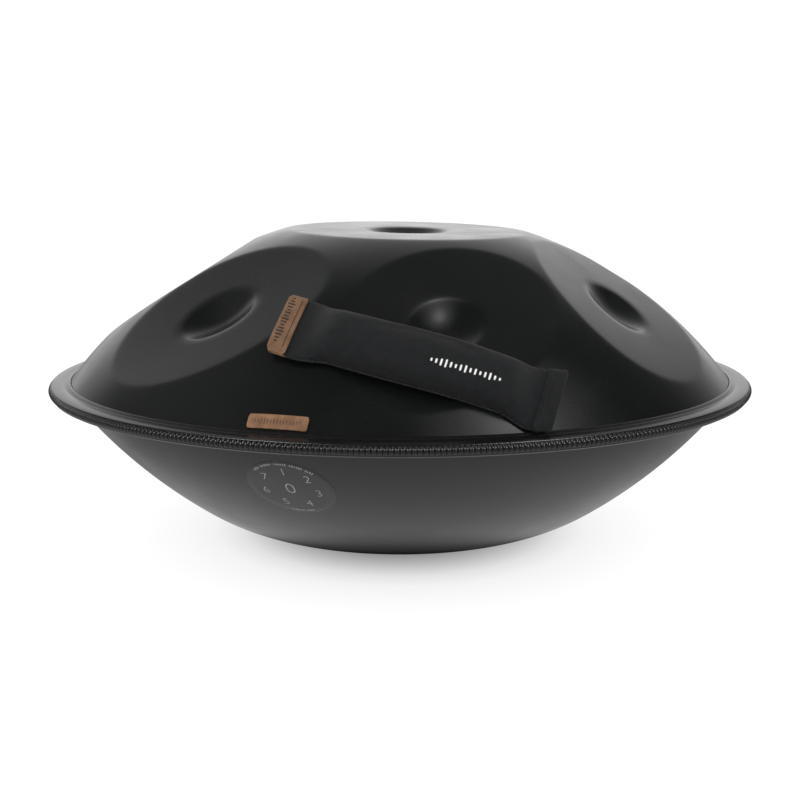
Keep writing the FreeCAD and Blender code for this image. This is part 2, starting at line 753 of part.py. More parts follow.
def bag_edge_stitching():
    """Thread along both long edges, on the ledge of the lower panel."""
    left = BAG_FILL_LEFT + STITCH_PITCH
    right = BAG_FILL_RIGHT - STITCH_PITCH
    count = int((right - left) / STITCH_PITCH)
    level = CLOTH + STITCH_R + EDGE_STITCH_GAP
    solids = []
    for side in (-1, 1):
        for k in range(count):
            s = left + (k + 0.5) * STITCH_PITCH
            w = side * (bag_width(s) / 2 + BAG_EDGE / 2)
            solids.append(stitch(bag_point(s - STITCH_LENGTH / 2, w, level),
                                 bag_point(s + STITCH_LENGTH / 2, w, level)))
    return Part.makeCompound(solids)


def main():
    os.makedirs("parts", exist_ok=True)
    nodes = {
        "upper_shell": upper_shell,
        "lower_shell": lower_shell,
        "rim_adhesive": rim_adhesive,
        "edge_trim": edge_trim,
        "edge_trim_core": edge_trim_core,
        "rim_label": rim_label,
        "rim_label_tape": rim_label_tape,
        "note_sticker": note_sticker,
        "note_sticker_print": note_sticker_print,
        "bag_top_panel": bag_top_panel,
        "bag_bottom_panel": bag_bottom_panel,
        "bag_filling": bag_filling,
        "bag_end_hem": bag_end_hem,
        "bag_hem_stitching": bag_hem_stitching,
        "bag_edge_stitching": bag_edge_stitching,
        "bag_label": bag_label,
        "bag_label_stitching": bag_label_stitching,
    }
    for name, make in nodes.items():
        shape = make()
        shape.exportStep("parts/" + name + ".step")
        print(name, "valid", shape.isValid(), "solids", len(shape.Solids),
              "volume", round(shape.Volume / 1000, 2), "cm3")


main()
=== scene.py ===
import math

import bpy
import numpy as np
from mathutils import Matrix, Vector
from mathutils.bvhtree import BVHTree

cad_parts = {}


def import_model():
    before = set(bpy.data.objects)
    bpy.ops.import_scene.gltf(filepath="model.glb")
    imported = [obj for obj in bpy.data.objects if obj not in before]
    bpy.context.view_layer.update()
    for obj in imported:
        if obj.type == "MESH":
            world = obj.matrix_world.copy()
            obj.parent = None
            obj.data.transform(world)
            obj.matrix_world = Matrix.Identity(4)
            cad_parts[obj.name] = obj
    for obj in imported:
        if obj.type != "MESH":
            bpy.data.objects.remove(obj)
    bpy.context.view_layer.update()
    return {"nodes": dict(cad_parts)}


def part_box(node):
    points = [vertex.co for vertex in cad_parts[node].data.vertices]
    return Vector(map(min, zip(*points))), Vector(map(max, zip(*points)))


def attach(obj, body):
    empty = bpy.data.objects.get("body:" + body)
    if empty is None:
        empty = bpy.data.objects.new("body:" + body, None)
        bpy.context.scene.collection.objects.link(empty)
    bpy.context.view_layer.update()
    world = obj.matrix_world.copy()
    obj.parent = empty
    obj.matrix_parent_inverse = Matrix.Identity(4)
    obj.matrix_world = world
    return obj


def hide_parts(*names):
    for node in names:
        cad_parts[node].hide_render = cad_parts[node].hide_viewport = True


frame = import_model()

# Sizes below are in millimetres and turn into metres where a mesh is made.
MM = 0.001


def node_box(node):
    low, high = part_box(node)
    return np.array(low) / MM, np.array(high) / MM


# ---- from the frame ----
GLUE_LOW, GLUE_HIGH = node_box("rim_adhesive")
RIM_HEIGHT = (GLUE_LOW[2] + GLUE_HIGH[2]) / 2
FLANGE_R = GLUE_HIGH[0]
GLUE = GLUE_HIGH[2] - GLUE_LOW[2]
TRIM_RIB_R = node_box("edge_trim")[1][0]

# ---- shells, as the CAD has them ----
SHEET = 1.2
DOME_FOOT_R = 259.4
BOWL_FOOT_R = 258.4
DOME_R = 322.0
BOWL_SIDE_R = 387.0
BOWL_BILGE_R = 160.0
BOWL_BILGE_ANGLE = 33.4
SEAT_R = 73.6
PORT_R = 48.0
PORT_BEND_R = 11.0
PORT_NECK = 27.0
DOME_CENTRE = np.array([0.0, 0.0, RIM_HEIGHT - math.sqrt(DOME_R ** 2 - DOME_FOOT_R ** 2)])

# ---- hammered relief ----
FIELD_POLAR = 34.5
FIELD_TILT = 45.0
CREASE = 0.04
FIELD_REACH = 0.8
DING = dict(azimuth=90.0, polar=1.1, long=93.0, short=93.0, tilt=0.0, dimple=(38.7, 38.7))
FIELD_SIZES = (
    (-47.0, 87.0, 72.0),
    (10.5, 94.0, 68.0),
    (65.0, 90.0, 70.0),
    (115.0, 82.0, 68.0),
    (164.0, 80.0, 68.0),
    (213.0, 80.0, 68.0),
    (262.5, 84.0, 70.0),
)
FIELD_DIMPLE = (36.5, 30.5)
DIMPLE_CREASE = 0.09
BOWL_SHARE = 0.84
SHOULDER_DEPTH = 0.045
BOWL_DEPTH = 0.2

# ---- edge trim ----
TRIM_NOSE_R = 271.6
TRIM_GROOVE_R = 270.9
TRIM_NOSE_HALF = 2.1
RIB_COUNT = 468
RIB_REACH = 2.8                 # half height over which the ribs fade out
NOSE_ROUNDING = 0.6             # the ribbed nose draws in by this much towards its edges
TRIM_UPPER_LEG = ((270.9, 3.0), (269.0, 3.7), (266.0, 4.2), (262.8, 4.4), (260.2, 4.2),
                  (258.9, 4.7), (257.2, 5.7), (256.0, 5.9), (255.55, 5.4))
TRIM_LOWER_LEG = ((271.0, -3.3), (269.0, -4.7), (266.4, -5.8), (263.2, -6.4), (259.6, -6.2),
                  (256.9, -5.5), (255.6, -4.4))

TRIM_BUTT_GAP = 0.6

# ---- label on the dome, sticker on the bowl ----
LABEL = dict(azimuth=-18.3, polar=51.1, width=42.0, height=10.6, corner=1.6)
LABEL_LOW = 0.27
LABEL_HIGH = 1.37
STICKER_AZIMUTH = -18.8
STICKER_RADIUS_FROM_AXIS = 225.4
STICKER_R = 31.0
STICKER_LOW = 0.02
STICKER_HIGH = 0.17
NOTE_RING_R = 19.5
NOTE_COUNT = 7
NOTE_SIZE = 11.4
DING_SIZE = 17.0
TICK_RING_R = 28.0
TICK_ARCS = ((0.0, 47.0, 30), (180.0, 18.0, 12))    # middle and half angle, number of ticks
TICK_GAP = (7, 4)               # in every so many ticks, this one is left out

# ---- damper bag ----
BAG_AZIMUTH = 4.2
BAG_POLAR = 41.7
BAG_SLANT = -19.3
TAB_END = -106.0
HEM_END = 93.9
BAG_FILL_LEFT = -86.0
BAG_FILL_RIGHT = 81.0
BAG_RAMP = 24.0
BAG_LEFT_RAMP = 30.0            # length over which the filling tapers off at the left
BAG_END_WIDTH = 51.3
BAG_MID_WIDTH = 41.9
BAG_MIDDLE = -4.5
BAG_LEFT_RISE = 9.8
BAG_RIGHT_RISE = 1.5
BAG_CROWN = 16.0
BAG_CLEAR = 0.8
BAG_LEFT_LIFT = 3.3
BAG_RIGHT_LIFT = 6.5
BAG_LIFT_START = 72.0
BAG_BELLY = 0.65
CLOTH = 0.9
CLOTH_GAP = 0.15
FOLD_GAP = 0.35
BAG_EDGE = 1.4
HEM_LENGTH = 12.0
TAB_LENGTH = 15.5
TAB_CORNER = 3.0
LEATHER = 1.2
STITCH_R = 0.3
STITCH_PITCH = 3.4
STITCH_LENGTH = 2.4
STITCH_INSET = 3.2
STITCH_MARGIN = 2.0
PANEL_STACK = 2 * CLOTH + 2 * CLOTH_GAP
BAG_WALK_R = DOME_R + 8.0
PINCH = 3.0                     # the panels draw in this much under the tab and the hem
FOLD_PRESS = 0.93               # share of a fold's gap that closes along its sides
SQUARENESS = 0.86               # the filled bag's arch is a little fuller than an ellipse
MOVE_LIMIT = 1.2                # how far the settling cloth may move

# ---- rows of plain bars: length, height, width of a bar ----
LABEL_BARS = (32.0, 5.0, 1.1)
BAG_BARS = (46.0, 5.8, 1.35)
TAB_BARS = (42.0, 6.4, 1.5)
BAG_BARS_PLACE = (29.5, -7.0)   # along and across the bag
TAB_BARS_PLACE = (TAB_END + 5.6, 2.0)

# ---- camera, in front of the object and a little above its rim ----
CAMERA_DISTANCE = 1.237
CAMERA_HEIGHT = 0.3276
CAMERA_TILT = 10.44
CAMERA_LENS = 71.19
CAMERA_SENSOR = 36.0

# ---- even light on everything ----
WHITE_ROOM = 1.1

# ---- light seen in reflections ----
BACKDROP_GLOW = 1.4             # straight behind the object,
BACKDROP_POWER = 4.4            # and falling off as this power of a direction's Y
ROOM_GLOW = (0.08, 0.02)        # the rest of the room, from its left to its right
# lamps: direction, cosines of the soft edge, brightness
LAMPS = (
    ((0.45, -0.25, 0.86), (0.985, 0.999), 3.2),
    ((0.45, -0.25, 0.86), (0.90, 0.985), 0.6),
    ((-0.56, 0.74, 0.38), (0.980, 0.999), 0.25),
    ((-0.73, 0.10, 0.67), (0.90, 0.99), 0.10),
    ((0.12, 0.32, 0.94), (0.94, 0.995), 0.05),
    ((-0.66, -0.66, 0.34), (0.96, 0.988), 11.0),
    ((0.66, -0.66, 0.34), (0.96, 0.988), 11.0),
)
# glow of the floor paper by distance from the middle, in metres; its dark middle is a painted
# contact shadow
PAPER_GLOW_PAINTED_SHADOW = ((0.099, 0.29), (0.124, 0.49), (0.152, 0.75), (0.177, 0.88), (0.207, 0.93),
              (0.25, 0.98))
# glow of the floor paper as reflections see it, by distance from the middle, in metres: a painted
# reflection, with painted shade near the middle
PAPER_PAINTED_REFLECTION = ((0.115, 0.0), (0.135, 0.12), (0.157, 0.75), (0.23, 0.61), (0.32, 0.36))
# mirrored, as a painted reflection, it is dimmer in front: from Y, to Y, and the shares there
PAPER_PAINTED_REFLECTION_FRONT = (-0.7, -0.3, 0.36, 0.9)


# ---------------------------------------------------------------- meshes

def mesh_object(name, points, faces, smooth=True):
    """New object from points in millimetres."""
    mesh = bpy.data.meshes.new(name)
    mesh.from_pydata((np.asarray(points) * MM).tolist(), [], faces)
    mesh.validate()
    mesh.polygons.foreach_set("use_smooth", [smooth] * len(mesh.polygons))
    mesh.update()
    obj = bpy.data.objects.new(name, mesh)
    bpy.context.scene.collection.objects.link(obj)
    return obj


def ring_faces(rows, columns, wrap_rows=False):
    """Quads of a grid whose columns run round in a circle."""
    i, j = np.meshgrid(np.arange(rows if wrap_rows else rows - 1), np.arange(columns),
                       indexing="ij")
    i2 = (i + 1) % rows
    j2 = (j + 1) % columns
    quads = np.stack([i * columns + j, i * columns + j2, i2 * columns + j2, i2 * columns + j], -1)
    return quads.reshape(-1, 4).tolist()


def end_fans(rows, columns):
    """Triangles from the two points after a grid to the grid's first and last row."""
    first = rows * columns
    last = (rows - 1) * columns
    faces = []
    for j in range(columns):
        following = (j + 1) % columns
        faces.append([first, following, j])
        faces.append([first + 1, last + j, last + following])
    return faces


def lathe(name, section, columns):
    """Solid of revolution of a closed section of (r, z) points."""
    turn = np.linspace(0, 2 * math.pi, columns, endpoint=False)
    section = np.asarray(section)
    r = section[:, 0:1]
    points = np.stack([r * np.cos(turn), r * np.sin(turn),
                       section[:, 1:2] + 0 * turn], -1)
    faces = ring_faces(len(section), columns, wrap_rows=True)
    return mesh_object(name, points.reshape(-1, 3), faces)


def smooth_path(points, per_span):
    """Catmull-Rom curve through the points."""
    p = np.asarray(points, float)
    p = np.vstack([2 * p[0] - p[1], p, 2 * p[-1] - p[-2]])
    path = []
    for k in range(1, len(p) - 2):
        for t in np.linspace(0, 1, per_span, endpoint=False):
            path.append(0.5 * (2 * p[k] + (p[k + 1] - p[k - 1]) * t
                               + (2 * p[k - 1] - 5 * p[k] + 4 * p[k + 1] - p[k + 2]) * t ** 2
                               + (3 * p[k] - p[k - 1] - 3 * p[k + 1] + p[k + 2]) * t ** 3))
    path.append(p[-2])
    return np.array(path)


# ---------------------------------------------------------------- dome

def direction(azimuth, polar):
    a = np.radians(azimuth)
    p = np.radians(polar)
    return np.array([np.sin(p) * np.sin(a), -np.sin(p) * np.cos(a), np.cos(p)])


def tangent_axes(azimuth, polar, turn=0.0):
    a = math.radians(azimuth)
    t = math.radians(turn)
    level = np.array([math.cos(a), math.sin(a), 0.0])
    uphill = np.cross(direction(azimuth, polar), level)
    return (level * math.cos(t) + uphill * math.sin(t),
            uphill * math.cos(t) - level * math.sin(t))


def make_field(azimuth, polar, long, short, tilt, dimple):
    first, second = tangent_axes(azimuth, polar, tilt)
    depth = DOME_R - math.sqrt(DOME_R ** 2 - long * short)
    return dict(axis=direction(azimuth, polar), first=first, second=second,
                long=long, short=short, depth=depth, dimple=dimple)


FIELDS = [make_field(**DING)] + [
    make_field(azimuth, FIELD_POLAR, long, short, FIELD_TILT, FIELD_DIMPLE)
    for azimuth, long, short in FIELD_SIZES]


def soft_positive(x, softness):
    return 0.5 * (x + np.sqrt(x * x + softness * softness))


def relief(n):
    """How far the sheet lies below the plain sphere in the directions n."""
    total = np.zeros(n.shape[:-1])
    for field in FIELDS:
        near = n @ field["axis"] > FIELD_REACH
        x = DOME_R * (n @ field["first"])
        y = DOME_R * (n @ field["second"])
        flat = 1 - (x / field["long"]) ** 2 - (y / field["short"]) ** 2
        dimple_long, dimple_short = field["dimple"]
        mean_r = math.sqrt(dimple_long * dimple_short)
        spread = (x / dimple_long) ** 2 + (y / dimple_short) ** 2
        shoulder = soft_positive(1 - spread, DIMPLE_CREASE)
        bowl = soft_positive(1 - spread / BOWL_SHARE ** 2, DIMPLE_CREASE)
        depth = field["depth"] * soft_positive(flat, CREASE)
        depth += mean_r * (SHOULDER_DEPTH * shoulder + BOWL_DEPTH * bowl)
        total += np.where(near, depth, 0.0)
    return total


def dome_rings(inset, rings, columns):
    """Rings of points on the dome, from the glue plane up to the crown."""
    floor = RIM_HEIGHT + GLUE / 2
    radius = DOME_R - inset
    edge = math.acos((floor - DOME_CENTRE[2]) / radius)
    polar = np.linspace(edge, 0.0, rings + 1)[:-1]
    turn = np.linspace(0, 2 * math.pi, columns, endpoint=False)
    sin_polar = np.sin(polar)[:, None]
    n = np.stack([sin_polar * np.cos(turn), sin_polar * np.sin(turn),
                  np.cos(polar)[:, None] + 0 * turn], -1)
    return DOME_CENTRE + n * (radius - relief(n))[..., None]


def upper_shell():
    columns = 720
    skin = dome_rings(0.0, 190, columns)
    lining = dome_rings(SHEET, 60, columns)[::-1]
    turn = np.linspace(0, 2 * math.pi, columns, endpoint=False)
    circle = np.stack([np.cos(turn), np.sin(turn), 0 * turn], -1)
    top = RIM_HEIGHT + GLUE / 2 + SHEET
    floor = RIM_HEIGHT + GLUE / 2
    flange = [circle * r + np.array([0, 0, z]) for r, z in
              ((DOME_FOOT_R - 0.2, top + 0.6), (DOME_FOOT_R + 1.2, top), (FLANGE_R, top),
               (FLANGE_R, floor), (DOME_FOOT_R, floor))]
    crown = DOME_CENTRE + np.array([0, 0, DOME_R - relief(np.array([0, 0, 1.0]))])
    crown_in = crown - np.array([0, 0, SHEET])
    rows = list(lining) + flange[::-1] + list(skin[2:])
    points = np.concatenate([np.array(rows).reshape(-1, 3), [crown_in], [crown]])
    faces = ring_faces(len(rows), columns)
    faces += end_fans(len(rows), columns)
    obj = mesh_object("handpan_upper_shell", points, faces)
    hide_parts("upper_shell")
    return obj


# ---------------------------------------------------------------- bowl

def bowl_centres():
    slope = math.radians(BOWL_BILGE_ANGLE)
    shift = BOWL_SIDE_R - BOWL_BILGE_R
    bilge = np.array([SEAT_R, BOWL_BILGE_R])
    side = bilge + shift * np.array([-math.sin(slope), math.cos(slope)])
    return side, bilge


def arc_points(centre, radius, start, end, count):
    a = np.radians(np.linspace(start, end, count))
    return centre + radius * np.stack([np.cos(a), np.sin(a)], -1)


def bowl_skin(inset):
    """Section of the bowl from the glue plane down to the seat and up the port's neck."""
    side, bilge = bowl_centres()
    radius = BOWL_SIDE_R - inset
    rim_z = RIM_HEIGHT - GLUE / 2
    rim = math.degrees(math.asin((rim_z - side[1]) / radius))
    join = BOWL_BILGE_ANGLE - 90
    bend = np.array([PORT_R + PORT_BEND_R, PORT_BEND_R])
    return np.concatenate([
        arc_points(side, radius, rim, join, 70),
        arc_points(bilge, BOWL_BILGE_R - inset, join, -90, 34)[1:],
        arc_points(bend, PORT_BEND_R - inset, -90, -180, 14),
        [[PORT_R + inset, PORT_NECK]],
    ])


def lower_shell():
    skin = bowl_skin(0.0)
    lining = bowl_skin(SHEET)[::-1]
    top = RIM_HEIGHT - GLUE / 2
    lip = arc_points(np.array([PORT_R + SHEET / 2, PORT_NECK]), SHEET / 2, 180, 0, 7)[1:-1]
    flange = [[BOWL_FOOT_R - 1.5, top], [FLANGE_R, top], [FLANGE_R, top - SHEET],
              [BOWL_FOOT_R + 0.8, top - SHEET]]
    section = np.concatenate([flange, skin[2:], lip, lining[:-2]])
    obj = lathe("handpan_lower_shell", section, 360)
    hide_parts("lower_shell")
    return obj


def bowl_height(r):
    side, _ = bowl_centres()
    return side[1] - np.sqrt(BOWL_SIDE_R ** 2 - (r - side[0]) ** 2)


# ---------------------------------------------------------------- trim

def trim_section():
    """Closed section of the trim: skin from the bowl round the nose to the dome, then the slot."""
    upper = [(TRIM_NOSE_R, TRIM_NOSE_HALF)] + list(TRIM_UPPER_LEG)
    lower = list(TRIM_LOWER_LEG[::-1]) + [(TRIM_NOSE_R, -TRIM_NOSE_HALF)]
    nose = [(TRIM_NOSE_R, z) for z in np.linspace(-TRIM_NOSE_HALF, TRIM_NOSE_HALF, 15)[1:-1]]
    half = SHEET + GLUE / 2
    slot = [(DOME_FOOT_R - 0.55, half), (FLANGE_R + 0.1, half), (FLANGE_R + 0.1, -half),
            (BOWL_FOOT_R - 0.2, -half)]
    skin = np.concatenate([smooth_path(lower, 3), nose, smooth_path(upper, 3)])
    section = np.concatenate([skin, slot])
    section[:, 1] += RIM_HEIGHT
    return section


def edge_trim():
    """Ribbed band: the nose swells into a rib between two narrow grooves."""
    phases = np.array([0.0, 0.09, 0.2, 0.5, 0.8, 0.91])
    rise = np.array([0.0, 0.55, 0.9, 1.0, 0.9, 0.55])
    start = math.pi / 2
    turn = start + (np.arange(RIB_COUNT)[:, None] + phases).ravel() * 2 * math.pi / RIB_COUNT
    rib = np.tile(rise, RIB_COUNT)
    half_gap = TRIM_BUTT_GAP / 2 / TRIM_NOSE_R
    turn = np.append(turn, start + 2 * math.pi)
    rib = np.append(rib, 0.0)
    turn[0] += half_gap
    turn[-1] -= half_gap
    section = trim_section()
    height = np.abs(section[:, 1] - RIM_HEIGHT)
    on_nose = section[:, 0] > TRIM_NOSE_R - 1.2
    band = np.sqrt(np.clip(1 - (height / RIB_REACH) ** 2, 0, 1)) * on_nose
    swell = TRIM_GROOVE_R - TRIM_NOSE_R + (TRIM_RIB_R - TRIM_GROOVE_R) * rib
    rounding = NOSE_ROUNDING * np.clip(height / TRIM_NOSE_HALF, 0, 1) ** 2 * on_nose
    r = section[:, 0:1] + band[:, None] * swell - rounding[:, None]
    points = np.stack([r * np.cos(turn), r * np.sin(turn), section[:, 1:2] + 0 * turn], -1)
    columns = len(turn)
    faces = [face for face in ring_faces(len(section), columns, wrap_rows=True)
             if face[0] % columns != columns - 1]
    first = [i * columns for i in range(len(section))]
    faces.append(first)
    faces.append([i + columns - 1 for i in reversed(first)])
    obj = mesh_object("rim_trim", points.reshape(-1, 3), faces)
    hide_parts("edge_trim")
    return obj


# ---------------------------------------------------------------- damper bag

BAG_RIGHT = HEM_END - (PANEL_STACK / 2 + FOLD_GAP + CLOTH)
BAG_AXIS = direction(BAG_AZIMUTH, BAG_POLAR)
BAG_ALONG, BAG_ACROSS = tangent_axes(BAG_AZIMUTH, BAG_POLAR, BAG_SLANT)


def walk(axis, first, second, s, w, radius):
    """Directions reached by walking s along first and w along second on a sphere."""
    distance = np.hypot(s, w)
    angle = distance / radius
    reach = (np.sinc(angle / math.pi) / radius)[..., None]
    heading = s[..., None] * first + w[..., None] * second
    return axis * np.cos(angle)[..., None] + heading * reach


def towards_end(s, at_left, at_right):
    return (s / BAG_RIGHT) ** 2 * np.where(s < 0, at_left, at_right)


def bag_fill(s):
    """0 where the cloth is flat, 1 where the bag is full."""
    near = np.minimum((s - BAG_FILL_LEFT) / BAG_LEFT_RAMP, (BAG_FILL_RIGHT - s) / BAG_RAMP)
    return 0.5 - 0.5 * np.cos(np.clip(near, 0, 1) * math.pi)


def bag_half(s):
    return (BAG_END_WIDTH + (BAG_MID_WIDTH - BAG_END_WIDTH) * bag_fill(s)) / 2


def bag_hollow(n):
    """Depth of the dome's relief under the bag, without the dimples."""
    total = np.zeros(n.shape[:-1])
    for field in FIELDS:
        x = DOME_R * (n @ field["first"]) / field["long"]
        y = DOME_R * (n @ field["second"]) / field["short"]
        flat = field["depth"] * soft_positive(1 - x * x - y * y, CREASE)
        total += np.where(n @ field["axis"] > FIELD_REACH, flat, 0.0)
    return total


def bag_lift(s):
    """How far the bag stands off the dome."""
    bend = np.maximum(0.0, s - BAG_LIFT_START) / (BAG_RIGHT - BAG_LIFT_START)
    return BAG_CLEAR + towards_end(s, BAG_LEFT_LIFT, 0.0) + BAG_RIGHT_LIFT * bend ** 2


def bag_direction(s, w):
    """Directions of places on the bag; w is measured from its centre line."""
    middle = BAG_MIDDLE + towards_end(s, BAG_LEFT_RISE, BAG_RIGHT_RISE)
    return walk(BAG_AXIS, BAG_ALONG, BAG_ACROSS, s, w + middle, BAG_WALK_R)


def bag_point(s, w, height):
    """Places at a height above the plane in which the bag's long edges lie."""
    s, w, height = np.broadcast_arrays(*(np.asarray(v, float) for v in (s, w, height)))
    return DOME_CENTRE + bag_direction(s, w) * (DOME_R + bag_lift(s) + height)[..., None]


def bag_floor_point(s, w, height):
    """The same, above the underside, which bulges into the tone field's hollow."""
    s, w, height = np.broadcast_arrays(*(np.asarray(v, float) for v in (s, w, height)))
    share = np.maximum(0.0, 1 - (w / bag_half(s)) ** 2)
    belly = BAG_BELLY * bag_fill(s) * share ** 1.5 * bag_hollow(bag_direction(s, w))
    return bag_point(s, w, height - belly)


def loft(name, loops, smooth=True):
    """Skin through closed loops of equal count, with a fan over both ends."""
    loops = np.asarray(loops)
    rows, columns = loops.shape[:2]
    faces = ring_faces(rows, columns)
    points = np.concatenate([loops.reshape(-1, 3), loops[:1].mean(1), loops[-1:].mean(1)])
    faces += end_fans(rows, columns)
    return mesh_object(name, points, faces, smooth)


def unit_section(across, turn):
    """Rounded flat section: share of the flat width, then the corner circle's two parts."""
    u = np.linspace(1, -1, across)
    left = np.radians(np.linspace(270, 90, turn + 2)[1:-1])
    right = np.radians(np.linspace(90, -90, turn + 2)[1:-1])
    return np.concatenate([
        np.stack([u, 0 * u, 0 * u - 1], -1),
        np.stack([0 * left - 1, np.cos(left), np.sin(left)], -1),
        np.stack([-u, 0 * u, 0 * u + 1], -1),
        np.stack([0 * right + 1, np.cos(right), np.sin(right)], -1)])


def strip_loops(place, stations, halves, low, high, across=15):
    """Loops of a flat strip with rounded edges and ends; place(s, w, height) sets it down."""
    stations = np.concatenate([stations[:1], stations, stations[-1:]])
    halves = np.concatenate([halves[:1], halves, halves[-1:]])
    radius = np.full(len(stations), (high - low) / 2)
    stations[0] -= radius[0] * 0.6
    stations[-1] += radius[0] * 0.6
    halves[[0, -1]] -= radius[0] * 0.6
    radius[[0, -1]] *= 0.35
    section = unit_section(across, 3)
    w = section[:, 0] * (halves - radius)[:, None] + section[:, 1] * radius[:, None]
    height = (low + high) / 2 + section[:, 2] * radius[:, None]
    return place(stations[:, None] + 0 * w, w, height)


def corner_half(x, start, end, half, corner):
    """Half width at x of a strip with rounded corners."""
    inside = np.clip(np.minimum(x - start, end - x), 0, corner)
    return half - corner + np.sqrt(corner ** 2 - (corner - inside) ** 2)


def fold_radius(thickness):
    return PANEL_STACK / 2 + FOLD_GAP + thickness


def eased(x):
    x = np.clip(x, 0.0, 1.0)
    return x * x * (3 - 2 * x)


def tuck(s):
    """The panels are narrower where the tab or the hem closes over their corners."""
    return PINCH * (eased((TAB_END + TAB_LENGTH - s) / PINCH)
                    + eased((s - HEM_END + HEM_LENGTH) / PINCH))


def fold_loops(closed_end, open_end, thickness, half_of, across=21, ripple=0.0):
    """Loops of a strip folded over one end of the bag, its two layers closed at the sides."""
    inward = 1.0 if open_end > closed_end else -1.0
    pivot = closed_end + inward * fold_radius(thickness)
    straight = abs(open_end - pivot)
    run = straight * (1 - np.array([0.0, 0.02, 0.06, *np.linspace(0.12, 1, 18)]))
    turn = np.linspace(0, math.pi, 15)[1:-1]
    depth = np.concatenate([run, 0 * turn, run[::-1]])
    angle = np.concatenate([0 * run, turn, 0 * run + math.pi])
    edge = np.array([0.35, 0.8, 0.96])
    fullness = np.ones(len(depth))
    fullness[:3] = edge
    fullness[-3:] = edge[::-1]
    section = unit_section(across, 3)
    radius = thickness / 2
    centre = fold_radius(0.0) + radius
    station = pivot + inward * (depth - centre * np.sin(angle))
    half = half_of(station)
    w = section[:, 0] * (half - radius)[:, None] + section[:, 1] * (radius * fullness)[:, None]
    at_side = eased(1 - (half[:, None] - np.abs(w)) / PINCH)
    closed = at_side * eased((run[0] - depth) / PINCH)[:, None]
    middle = radius + fold_radius(0.0) * (1 - FOLD_PRESS * closed)
    offset = middle + section[:, 2] * (radius * fullness)[:, None]
    s = pivot + inward * (depth[:, None] - offset * np.sin(angle)[:, None])
    height = PANEL_STACK / 2 + offset * np.cos(angle)[:, None]
    height = height + ripple * np.sin(w * 0.31) * np.sin(s * 0.7 + w * 0.11)
    return bag_point(s, w, height)


def set_uv(obj, coords):
    """UV map from one pair per vertex; caps get the mean of their loop."""
    layer = obj.data.uv_layers.new(name="cloth")
    count = len(obj.data.vertices) - len(coords)
    coords = np.concatenate([coords, np.tile(coords.mean(0), (count, 1))])
    index = np.empty(len(obj.data.loops), int)
    obj.data.loops.foreach_get("vertex_index", index)
    layer.data.foreach_set("uv", coords[index].ravel())


def bag_bottom():
    stations = np.linspace(TAB_END + 2.6, HEM_END - 1.9, 90)
    halves = bag_half(stations) + BAG_EDGE - tuck(stations)
    obj = loft("bag_bottom", strip_loops(bag_floor_point, stations, halves,
                                           0.0, CLOTH + CLOTH_GAP))
    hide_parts("bag_bottom_panel")
    return obj


def body_loops():
    """The filled bag before it settles, and each point's station, width and freedom to move."""
    stations = np.linspace(TAB_END + 2.8, HEM_END - 2.4, 66)
    half = (bag_half(stations) - tuck(stations))[:, None]
    fill = bag_fill(stations)[:, None]
    across = np.linspace(1, -1, 15)
    turn = np.radians(np.linspace(-90, 90, 29)[1:-1])
    sine = np.sign(np.sin(turn)) * np.abs(np.sin(turn)) ** SQUARENESS
    rise = np.cos(turn) ** SQUARENESS
    share = np.concatenate([across, sine])
    crown = CLOTH + CLOTH_GAP + (BAG_CROWN - CLOTH) * fill - 0.8 * fill
    lift = np.concatenate([0 * across, rise])
    w = share * half
    height = CLOTH + CLOTH_GAP + crown * lift
    s = stations[:, None] + 0 * w
    free = np.clip(fill * 3, 0, 1) * np.clip(lift * 4, 0, 1)
    floor = bag_floor_point(s, w, height)
    return np.where(lift[:, None] > 0, bag_point(s, w, height), floor), s, w, free


def settle(obj, free):
    """Inflates the cloth a little with its lower side and ends held."""
    start = np.array([v.co for v in obj.data.vertices])
    held = obj.vertex_groups.new(name="held")
    for index, value in enumerate(free):
        held.add([index], 1.0 - float(value), "REPLACE")
    cloth = obj.modifiers.new("cloth", "CLOTH")
    settings = cloth.settings
    settings.quality = 6
    settings.mass = 0.2
    settings.tension_stiffness = 12
    settings.compression_stiffness = 12
    settings.bending_stiffness = 3.0
    settings.use_pressure = True
    settings.uniform_pressure_force = 4
    settings.vertex_group_mass = "held"
    settings.effector_weights.gravity = 0
    scene = bpy.context.scene
    scene.frame_start = 1
    scene.frame_end = 20
    for frame_number in range(1, 21):
        scene.frame_set(frame_number)
    graph = bpy.context.evaluated_depsgraph_get()
    settled = np.array([v.co for v in obj.evaluated_get(graph).data.vertices])
    obj.modifiers.remove(cloth)
    scene.frame_set(1)
    move = settled - start
    length = np.linalg.norm(move, axis=1, keepdims=True)
    cap = MOVE_LIMIT * MM
    move *= np.minimum(1.0, cap / np.maximum(length, 1e-12))
    points = start + move
    ray = points / MM - DOME_CENTRE
    distance = np.linalg.norm(ray, axis=1, keepdims=True)
    n = ray / distance
    floor = DOME_R - relief(n)[:, None] + CLOTH
    points = (DOME_CENTRE + n * np.maximum(distance, floor)) * MM
    obj.data.vertices.foreach_set("co", points.ravel())
    obj.data.update()


def refine(obj, levels=1):
    """Bakes a subdivision into the mesh."""
    modifier = obj.modifiers.new("fine", "SUBSURF")
    modifier.levels = levels
    graph = bpy.context.evaluated_depsgraph_get()
    mesh = bpy.data.meshes.new_from_object(obj.evaluated_get(graph))
    obj.modifiers.remove(modifier)
    obj.data = mesh
    mesh.polygons.foreach_set("use_smooth", [True] * len(mesh.polygons))


def bag_body():
    loops, s, w, free = body_loops()
    noise = np.random.default_rng(11).normal(0.0, 0.10, free.shape)
    loops = loops + (loops - DOME_CENTRE) / DOME_R * (noise * free)[..., None]
    obj = loft("bag_body", loops)
    set_uv(obj, np.stack([s.ravel(), w.ravel()], -1))
    settle(obj, np.append(free.ravel(), [0.0, 0.0]))
    refine(obj)
    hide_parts("bag_top_panel", "bag_filling")
    return obj


